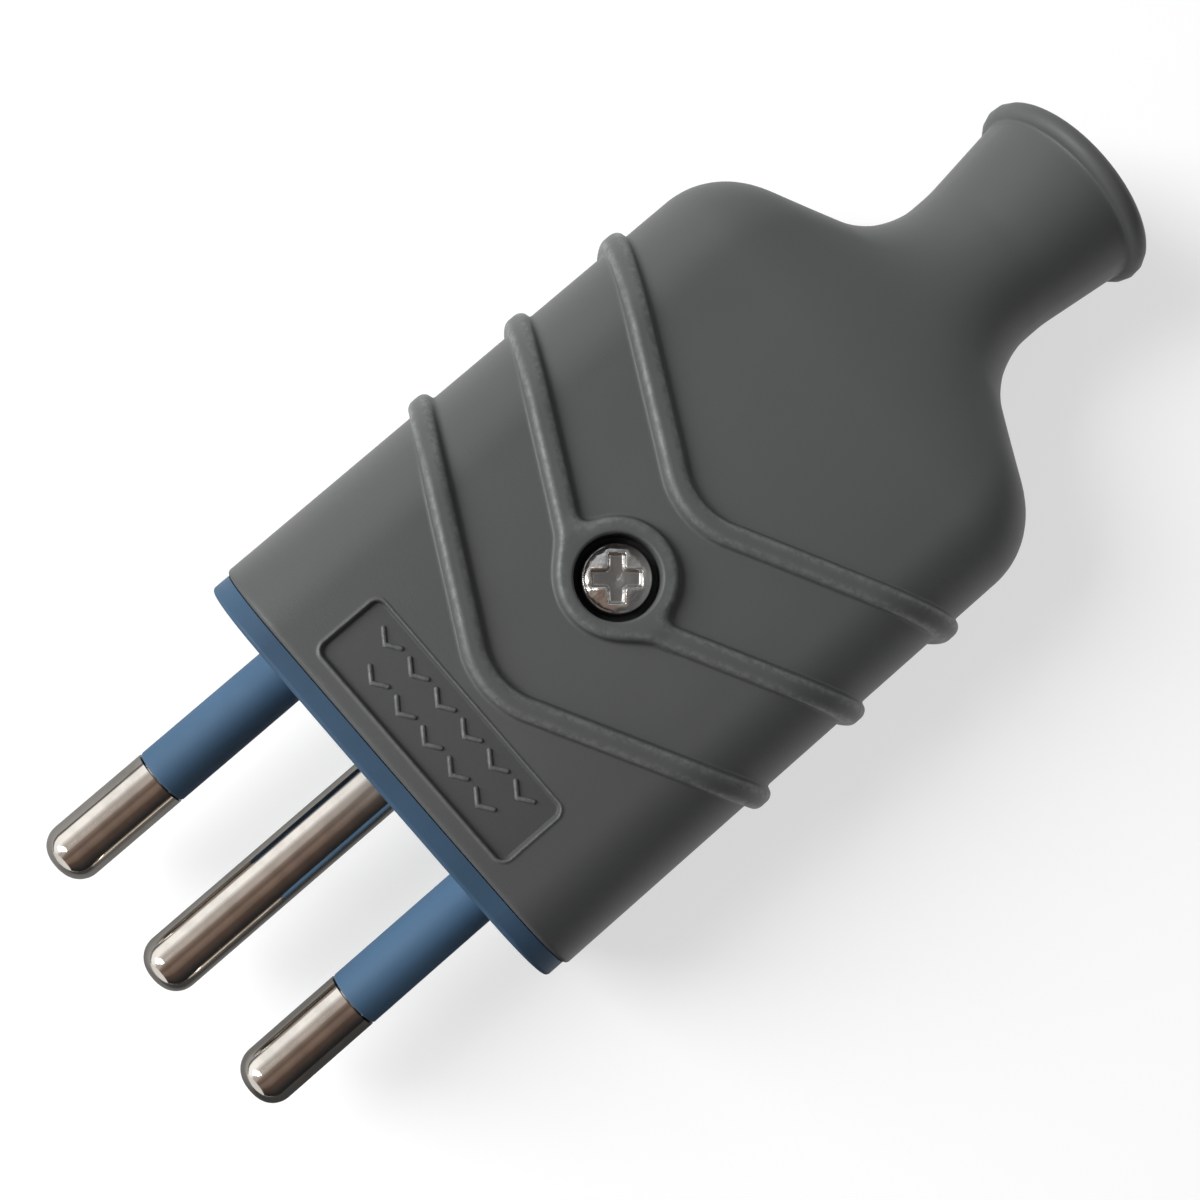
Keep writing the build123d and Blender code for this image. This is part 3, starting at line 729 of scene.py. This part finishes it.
        well += [(SEAT_RADIUS, HEAD_SEAT + WELL_BEVEL)]
        for radius, z in well:
            ring = [self.add(radius * math.cos(a), SCREW_Y + radius * math.sin(a), z) for a in angles]
            self.bridge(previous, ring)
            previous = ring

    def add(self, x, y, z, edge=0.0):
        """Adds a point and returns its index."""
        self.points.append((x, y, z))
        self.edges.append(edge)
        return len(self.points) - 1

    def add_top(self, x, y):
        """Adds a point on the upper face, with the relief there."""
        height, edge = self.form.relief(x, y, True)
        return self.add(x, y, self.form.crown(x) + height, edge)

    def bridge(self, outer, inner):
        """Quads between two closed loops of points."""
        for index, first in enumerate(outer):
            following = (index + 1) % len(outer)
            self.faces.append((outer[following], first, inner[index], inner[following]))


def panel_marks(form):
    """Points and faces of the raised chevrons on the panel's floor."""
    points, faces = [], []
    for count, y in MARK_ROWS:
        for number in range(count):
            x = (number - (count - 1) / 2) * MARK_PITCH
            start, bend = Vector((x - MARK_HALF, y + MARK_RISE / 2)), Vector((x, y - MARK_RISE / 2))
            ridge(form, start, bend, points, faces)
    return points, faces


def ridge(form, start, bend, points, faces):
    """Adds a rounded ridge with rounded ends: from its start to its bend, then mirrored."""
    along = (bend - start).normalized()
    lean = Vector((along.y, -along.x))
    half = MARK_WIDTH / 2
    stations = []
    for angle in spread(math.radians(80), 0.0, 4):
        stations.append((start - along * half * math.sin(angle), lean, math.cos(angle)))
    for share in (0.3, 0.6, 0.85):
        stations.append((start.lerp(bend, share), lean, 1.0))
    mirrored = [
        (Vector((2 * bend.x - place.x, place.y)), Vector((-side.x, side.y)), size)
        for place, side, size in reversed(stations)
    ]
    mitre = Vector((0.0, -1.0)) / math.cos(math.atan2(abs(along.y), along.x))
    stations += [(bend, mitre, 1.0)] + mirrored
    first = len(points)
    arc = spread(0.0, math.pi, 8)
    for place, side, size in stations:
        for angle in arc:
            spot = place + side * half * size * math.cos(angle)
            foot = form.crown(spot.x) - PANEL_DEPTH - MARK_SUNK
            points.append((spot.x, spot.y, foot + (MARK_HEIGHT + MARK_SUNK) * size * math.sin(angle)))
    row = len(arc)
    for step in range(len(stations) - 1):
        for index in range(row - 1):
            a = first + step * row + index
            faces.append((a, a + row, a + row + 1, a + 1))


class ScrewForm:
    """The cover screw in millimetres: a low domed head with a worn cross recess, and its thread."""

    def __init__(self, foot):
        self.foot = foot
        self.dome = (HEAD_RADIUS - HEAD_ROUND) / math.sin(HEAD_TILT)

    def recess(self, x, y):
        """Distance outside the cross recess, negative in it."""
        turned_x = x * math.cos(RECESS_TURN) + y * math.sin(RECESS_TURN)
        turned_y = y * math.cos(RECESS_TURN) - x * math.sin(RECESS_TURN)
        long, short = max(abs(turned_x), abs(turned_y)), min(abs(turned_x), abs(turned_y))
        arm = RECESS_ARM / 2 * (1.1 - 0.2 * long / RECESS_SPAN)
        across, beyond = short - arm, long - RECESS_SPAN / 2
        root = arm + RECESS_CORNER
        if long < root:
            corner = math.hypot(root - long, max(root - short, 0.0))
            return max(RECESS_CORNER - corner, -arm) if short > 0 else -arm
        return math.hypot(max(across, 0.0), max(beyond, 0.0)) + min(max(across, beyond), 0.0)

    def top(self, x, y):
        """Height of the head's face: its dome, the recess and small dents."""
        radius = math.hypot(x, y)
        height = HEAD_CROWN - self.dome + math.sqrt(self.dome**2 - radius**2)
        outside = self.recess(x, y)
        share = min(max(0.5 - outside / RECESS_WALL, 0.0), 1.0)
        height -= (RECESS_DEPTH - RECESS_SLOPE * radius) * share * share * (3 - 2 * share)
        height -= WORN_DEPTH * math.exp(-((outside - WORN_WIDTH) / WORN_WIDTH) ** 2)
        for depth, fineness, layer in DENTS:
            height += depth * noise.noise((x * fineness, y * fineness, layer))
        return height

    def recess_shade(self, x, y):
        """Painted shade: 1 on the recess floor, 0 outside the recess."""
        return min(max(-self.recess(x, y) / RECESS_WALL, 0.0), 1.0)

    def build(self):
        """Points, faces and painted shade of rings from the head's middle to the thread's end."""
        face = [(radius, None) for radius in spread(SCREW_AXIS, HEAD_RADIUS - HEAD_ROUND, 64)]
        rim = self.top(HEAD_RADIUS - HEAD_ROUND, 0.0)
        flank = [
            (HEAD_RADIUS - HEAD_ROUND * (1 - math.cos(a)), rim - HEAD_ROUND * (1 - math.sin(a)) + 0.002)
            for a in spread(math.radians(65), 0.0, 6)
        ]
        flank += [(HEAD_RADIUS, z) for z in spread(rim - HEAD_ROUND - 0.1, HEAD_SEAT, 4)]
        flank += [(THREAD_RADIUS, HEAD_SEAT)]
        for turn in range(int((HEAD_SEAT - self.foot - THREAD_END) / THREAD_PITCH)):
            z = HEAD_SEAT - THREAD_START - turn * THREAD_PITCH
            flank += [(THREAD_RADIUS, z), (THREAD_RADIUS - THREAD_DEPTH, z - THREAD_PITCH / 2)]
        flank += [(THREAD_RADIUS, self.foot + THREAD_POINT), (THREAD_RADIUS - THREAD_POINT, self.foot)]
        flank += [(SCREW_AXIS, self.foot)]
        points, faces = [], []
        angles = [2 * math.pi * turn / SCREW_TURNS for turn in range(SCREW_TURNS)]
        for radius, z in face + flank:
            for angle in angles:
                x, y = radius * math.cos(angle), radius * math.sin(angle)
                points.append((x, SCREW_Y + y, self.top(x, y) if z is None else z))
        for first in range(0, len(points) - SCREW_TURNS, SCREW_TURNS):
            for turn in range(SCREW_TURNS):
                a, b = first + turn, first + (turn + 1) % SCREW_TURNS
                faces.append((a, a + SCREW_TURNS, b + SCREW_TURNS, b))
        faces.append(tuple(range(SCREW_TURNS)))
        faces.append(tuple(range(len(points) - 1, len(points) - SCREW_TURNS - 1, -1)))
        # Painted shade: from the recess on the head's face, and full on the shank below the head
        recess_shade = [self.recess_shade(x, y - SCREW_Y) if z > HEAD_SEAT + 0.5 else 1.0 for x, y, z in points]
        return points, faces, recess_shade


class PlugFinish(PropertyGroup):
    root_round: FloatProperty(
        name="Root round",
        description="Radius of the roots of ribs and ring, in millimetres",
        default=0.25,
        min=0.05,
        max=0.6,
    )
    rubber_colour: FloatVectorProperty(
        name="Rubber", description="Colour of the soft cover", subtype="COLOR", default=(0.072, 0.0745, 0.074)
    )
    insulation_colour: FloatVectorProperty(
        name="Insulation",
        description="Colour of the carrier; the sleeves are a little paler",
        subtype="COLOR",
        default=(0.038, 0.075, 0.125),
    )
    nickel_colour: FloatVectorProperty(
        name="Nickel", description="Colour of the plated pins", subtype="COLOR", default=(0.66, 0.62, 0.57)
    )
    screw_colour: FloatVectorProperty(
        name="Screw", description="Colour of the plated screws", subtype="COLOR", default=(0.76, 0.75, 0.73)
    )
    clamp_colour: FloatVectorProperty(
        name="Clamp", description="Colour of the cord clamp", subtype="COLOR", default=(0.5, 0.5, 0.48)
    )
    key_power: FloatProperty(
        name="Key light", description="Power of the large soft light", unit="POWER", default=4.1, min=0.0
    )
    fill_power: FloatProperty(
        name="Fill light", description="Power of the weak light behind", unit="POWER", default=0.28, min=0.0
    )


class PLUG_OT_cover(Operator):
    """Finish the soft cover"""

    bl_idname = "plug.cover"
    bl_label = "Cover"

    def execute(self, context):
        settings = context.scene.plug_finish
        rubber = moulded_rubber(settings.rubber_colour)
        form = CoverForm(settings.root_round)
        grid = CoverMesh(form)
        grid.build()
        skin = mesh_piece("cover_skin", grid.points, grid.faces, rubber, "rounded_edge", grid.edges)
        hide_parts("cover")
        points, faces = panel_marks(form)
        # The chevrons are paled all over: wear that is partly a painted highlight
        marks = mesh_piece("panel_marks", points, faces, rubber, "rounded_edge", [MARK_WEAR_AND_HIGHLIGHT] * len(points))
        for piece in (skin, marks):
            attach(piece, BODY)
        return {"FINISHED"}


class PLUG_OT_insulation(Operator):
    """Finish the pin carrier, its keeper and the pins' sleeves"""

    bl_idname = "plug.insulation"
    bl_label = "Carrier and sleeves"

    def execute(self, context):
        colour = context.scene.plug_finish.insulation_colour
        carrier = moulded_insulation("carrier_insulation", colour)
        sleeve = moulded_insulation("sleeve_insulation", [channel * SLEEVE_TONE for channel in colour])
        for node in ("pin_carrier", "pin_keeper"):
            dress(node, carrier)
        for node in ("live_sleeve", "neutral_sleeve"):
            dress(node, sleeve)
        return {"FINISHED"}


class PLUG_OT_pins(Operator):
    """Finish the three plated pins"""

    bl_idname = "plug.pins"
    bl_label = "Pins"

    def execute(self, context):
        colour = context.scene.plug_finish.nickel_colour
        nickel = plated_nickel("pin_nickel", colour, (1.0, 0.05, 1.0), 0.1)
        for node in ("earth_pin", "live_pin", "neutral_pin"):
            dress(node, nickel)
        return {"FINISHED"}


class PLUG_OT_screws(Operator):
    """Finish the cover screw, the nut, the clamp and the terminal screws"""

    bl_idname = "plug.screws"
    bl_label = "Screws and clamp"

    def execute(self, context):
        settings = context.scene.plug_finish
        bright = plated_nickel("screw_nickel", settings.screw_colour, (1.0, 1.0, 0.2), 0.2)
        clamp = moulded_insulation("clamp_plastic", settings.clamp_colour)
        points, faces, recess_shade = ScrewForm(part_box("cover_screw")[0].z / MM).build()
        head = mesh_piece("cover_screw_head", points, faces, bright, "recess", recess_shade)
        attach(head, BODY)
        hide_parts("cover_screw")
        for node in ("cover_nut", "clamp_screw_left", "clamp_screw_right"):
            dress(node, bright)
        for pin in ("earth", "live", "neutral"):
            dress(f"{pin}_terminal_screw", bright)
        dress("cord_clamp", clamp)
        return {"FINISHED"}


class PLUG_OT_stage(Operator):
    """Set the pale floor, the soft light and the camera"""

    bl_idname = "plug.stage"
    bl_label = "Stage"

    def execute(self, context):
        floor_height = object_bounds()[0].z
        self.lay_floor(floor_height)
        self.hang_hood(floor_height)
        self.hang_glint()
        self.lay_under_card(floor_height)
        settings = context.scene.plug_finish
        self.light((settings.key_power, settings.fill_power))
        self.light_room(context.scene)
        self.place_camera(context.scene)
        context.scene.view_settings.view_transform = "Standard"
        return {"FINISHED"}

    def lay_floor(self, height):
        """A pale sheet that glows only where it is seen, and keeps the plug's shadow."""
        mesh = bpy.data.meshes.new("floor")
        half = FLOOR_SIZE / 2
        corners = [(x * half, y * half, height) for x, y in ((-1, -1), (1, -1), (1, 1), (-1, 1))]
        mesh.from_pydata(corners, [], [(0, 1, 2, 3)])
        finish = Finish("floor_paper", (0.42, 0.42, 0.42), 0.9)
        paper = finish.noise(40.0, 3.0)
        finish.put("Base Color", finish.mix(paper, finish.shade(0.99), finish.shade(1.0)))
        finish.put("Specular IOR Level", 0.1)
        away = finish.node("ShaderNodeVectorMath", {"operation": "LENGTH"}, {0: finish.place()}, output=1)
        share = away.smooth(FLOOR_GLOW_START, FLOOR_GLOW_END)
        glow = finish.mix(share, FLOOR_GLOW_NEAR, FLOOR_GLOW_FAR)
        finish.put("Emission Color", finish.mix(finish.seen(), (0, 0, 0, 1), glow))
        finish.put("Emission Strength", 1.0)
        mesh.materials.append(finish.material)
        floor = bpy.data.objects.new("floor", mesh)
        bpy.context.scene.collection.objects.link(floor)
        floor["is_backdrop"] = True

    def hang_hood(self, height):
        """A half-round card over the plug, bright to dark across, that only reflections show."""
        mesh = bpy.data.meshes.new("hood")
        points = [
            (-HOOD_RADIUS * math.cos(angle), side * HOOD_LENGTH / 2, height + HOOD_RADIUS * math.sin(angle))
            for angle in spread(0.0, math.pi, HOOD_STEPS)
            for side in (-1, 1)
        ]
        faces = [(i, i + 1, i + 3, i + 2) for i in range(0, 2 * HOOD_STEPS, 2)]
        mesh.from_pydata(points, [], faces)
        finish = Finish("hood_card", CARD_COLOUR, 1.0)
        place = finish.node("ShaderNodeTexCoord", output="Generated")
        across = finish.node("ShaderNodeSeparateXYZ", None, {0: place})
        along = finish.node("ShaderNodeSeparateXYZ", None, {0: place}, output=1)
        glows = []
        for table in (PIN_GLOW, COVER_GLOW):
            stops = [((1 - math.cos(math.radians(angle))) / 2, (*glow, 1.0)) for angle, glow in table]
            glows.append(finish.node("ShaderNodeValToRGB", {"stops": stops}, {0: across}))
        finish.put("Emission Color", finish.mix(along.smooth(*GLOW_CHANGE), *glows))
        self.hang("hood", mesh, finish)

    def hang_glint(self):
        """A small bright card above the pins' side, that only reflections show."""
        mesh = bpy.data.meshes.new("glint_card")
        points = [
            Matrix.Rotation(turn, 3, "Z") @ Vector((math.cos(lift), 0, math.sin(lift))) * GLINT_DISTANCE
            for lift in (GLINT_LOW, GLINT_HIGH)
            for turn in (GLINT_HEADING - GLINT_SPREAD, GLINT_HEADING + GLINT_SPREAD)
        ]
        mesh.from_pydata(points, [], [(0, 1, 3, 2)])
        finish = Finish("glint_card", CARD_COLOUR, 1.0)
        finish.put("Emission Color", (GLINT_GLOW, GLINT_GLOW, GLINT_GLOW, 1.0))
        self.hang("glint_card", mesh, finish)

    def lay_under_card(self, height):
        """A dim card on the floor before the engagement face, that only reflections show."""
        mesh = bpy.data.meshes.new("under_card")
        near, far = -MM, -MM - UNDER_CARD_LENGTH
        corners = [(-1, far), (1, far), (1, near), (-1, near)]
        points = [(side * UNDER_CARD_HALF, y, height + UNDER_CARD_LIFT) for side, y in corners]
        mesh.from_pydata(points, [], [(0, 1, 2, 3)])
        finish = Finish("under_card", CARD_COLOUR, 1.0)
        place = finish.node("ShaderNodeTexCoord", output="Generated")
        across = finish.node("ShaderNodeSeparateXYZ", None, {0: place})
        stops = [(share, (glow, glow, glow, 1.0)) for share, glow in UNDER_CARD_GLOW]
        finish.put("Emission Color", finish.node("ShaderNodeValToRGB", {"stops": stops}, {0: across}))
        self.hang("under_card", mesh, finish)

    def hang(self, name, mesh, finish):
        """Hangs a glowing card that only reflections show."""
        finish.put("Emission Strength", 1.0)
        mesh.materials.append(finish.material)
        card = bpy.data.objects.new(name, mesh)
        bpy.context.scene.collection.objects.link(card)
        card.visible_camera = False
        card.visible_diffuse = False
        card.visible_shadow = False
        card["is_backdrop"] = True

    def light(self, powers):
        """Sets the soft lamps, which reflections leave out."""
        for (name, place, size), power in zip(LAMPS, powers):
            lamp_data = bpy.data.lights.new(name, "AREA")
            lamp_data.shape = "RECTANGLE"
            lamp_data.size, lamp_data.size_y = size
            lamp_data.energy = power
            lamp = bpy.data.objects.new(name, lamp_data)
            lamp.location = place
            lamp.rotation_mode = "QUATERNION"
            lamp.rotation_quaternion = (LAMP_AIM - lamp.location).to_track_quat("-Z", "Y")
            lamp.visible_glossy = False
            bpy.context.scene.collection.objects.link(lamp)

    def light_room(self, scene):
        """A dim even room, which is white where it is seen."""
        world = bpy.data.worlds.new("soft_room")
        world.use_nodes = True
        graph = Graph(world.node_tree)
        room = world.node_tree.nodes["Background"]
        graph.fill(room.inputs["Color"], (0.95, 0.97, 1.0, 1.0))
        graph.fill(room.inputs["Strength"], ROOM_LEVEL)
        dim = Signal(graph, room.outputs[0])
        white = graph.node("ShaderNodeBackground", None, {"Color": (1.0, 1.0, 1.0, 1.0)})
        choice = graph.node("ShaderNodeMixShader", None, {0: graph.seen(), 1: dim, 2: white})
        graph.fill(world.node_tree.nodes["World Output"].inputs["Surface"], choice)
        scene.world = world

    def place_camera(self, scene):
        """Looks down on the plug as the photograph does."""
        camera_data = bpy.data.cameras.new("camera")
        camera_data.sensor_width = SENSOR_WIDTH
        camera_data.lens = FOCAL_SHARE * SENSOR_WIDTH
        camera_data.clip_start = 0.01
        camera_data.clip_end = 10.0
        camera = bpy.data.objects.new("camera", camera_data)
        back = (CAMERA_PLACE - CAMERA_AIM).normalized()
        right = Vector((math.cos(PICTURE_UP), math.sin(PICTURE_UP), 0)).cross(back).normalized()
        up = back.cross(right)
        turn = Matrix((right, up, back)).transposed().to_4x4()
        camera.matrix_world = Matrix.Translation(CAMERA_PLACE) @ turn
        scene.collection.objects.link(camera)
        scene.camera = camera


class VIEW3D_PT_plug(Panel):
    """Sizes, colours and build steps of the plug"""

    bl_space_type = "VIEW_3D"
    bl_region_type = "UI"
    bl_category = "Plug"
    bl_label = "Three-pin plug"

    def draw(self, context):
        settings = context.scene.plug_finish
        for name in PlugFinish.__annotations__:
            self.layout.prop(settings, name)
        for step in STEPS:
            self.layout.operator(step.bl_idname)


STEPS = (PLUG_OT_cover, PLUG_OT_insulation, PLUG_OT_pins, PLUG_OT_screws, PLUG_OT_stage)
CLASSES = (PlugFinish, *STEPS, VIEW3D_PT_plug)


def register():
    for kind in CLASSES:
        bpy.utils.register_class(kind)
    bpy.types.Scene.plug_finish = PointerProperty(type=PlugFinish)


def unregister():
    del bpy.types.Scene.plug_finish
    for kind in reversed(CLASSES):
        bpy.utils.unregister_class(kind)


def main():
    register()
    bpy.ops.plug.cover()
    bpy.ops.plug.insulation()
    bpy.ops.plug.pins()
    bpy.ops.plug.screws()
    bpy.ops.plug.stage()


if __name__ == "__main__":
    main()
